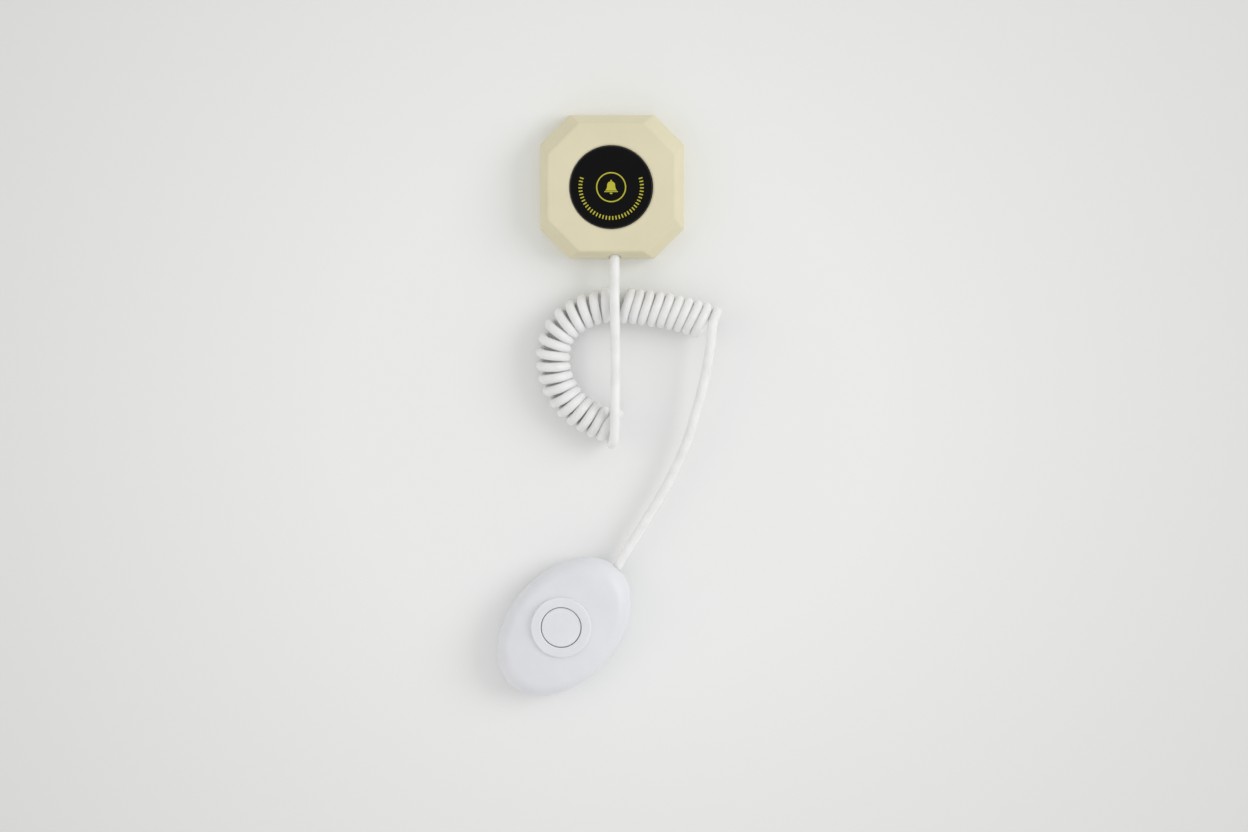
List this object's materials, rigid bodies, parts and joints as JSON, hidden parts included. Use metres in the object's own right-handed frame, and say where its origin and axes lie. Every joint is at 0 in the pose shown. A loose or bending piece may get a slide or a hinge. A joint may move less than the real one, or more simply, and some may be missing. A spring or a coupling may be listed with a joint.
{
  "type": "bedside call button",
  "caption": "Octagonal wall-mounted call unit with a large round push button, wired by a curly cord to an oval hand-held push button.",
  "frame": {"origin": "middle of the wall unit's back, on the plane that meets the wall", "axes": "+Z out of the wall unit's face, +Y up the wall, +X to the right as seen from in front; the cord leaves the unit towards -Y, and the whole set lies face up on the plane z = 0"},
  "size_m": [0.1019, 0.262, 0.0236],
  "materials": {
    "cream_plastic": "fine satin",
    "grey_plastic": "satin",
    "black_plastic": "semi-gloss",
    "black_film": "semi-gloss print film",
    "circuit_board": "satin",
    "switch_black": "satin",
    "chip_black": "matt",
    "tin": "satin",
    "natural_nylon": "satin",
    "cell_jacket": "gloss sleeve",
    "nickel": "satin",
    "screw_steel": "satin",
    "cord_white": "satin",
    "white_plastic": "fine satin",
    "white_gloss_plastic": "satin gloss"
  },
  "bodies": {
    "set": {"front_cover": "cream_plastic", "back_plate": "grey_plastic", "circuit_board": "circuit_board", "call_switch": "switch_black", "transmitter_chip": "chip_black", "resonator_can": "tin", "antenna_loop": "tin", "cord_socket": "natural_nylon", "battery": "cell_jacket", "battery_contact_plus": "nickel", "battery_contact_minus": "nickel", "cover_screws": "screw_steel", "board_screws": "screw_steel", "cord_clamp": "grey_plastic", "clamp_screws": "screw_steel", "unit_cord_collar": "cord_white", "cord_unit_lead": "cord_white", "cord_coil": "cord_white", "cord_hand_lead": "cord_white", "hand_front_shell": "white_plastic", "hand_rear_shell": "white_plastic", "hand_circuit_board": "circuit_board", "push_switch": "switch_black", "hand_board_screws": "screw_steel", "hand_shell_screws": "screw_steel", "hand_cord_collar": "cord_white"},
    "call_button": {"call_button_cap": "black_plastic", "call_button_film": "black_film", "call_switch_plunger": "switch_black"},
    "hand_button": {"push_button": "white_gloss_plastic", "push_switch_plunger": "switch_black"}
  },
  "joints": [
    {"name": "call_press", "type": "slide", "parent": "set", "child": "call_button", "axis": [0, 0, -1], "range_m": [0, 0.0006], "stiffness_N_per_m": 3000},
    {"name": "push_press", "type": "slide", "parent": "set", "child": "hand_button", "axis": [0, 0, -1], "range_m": [0, 0.0012], "stiffness_N_per_m": 1500}
  ]
}
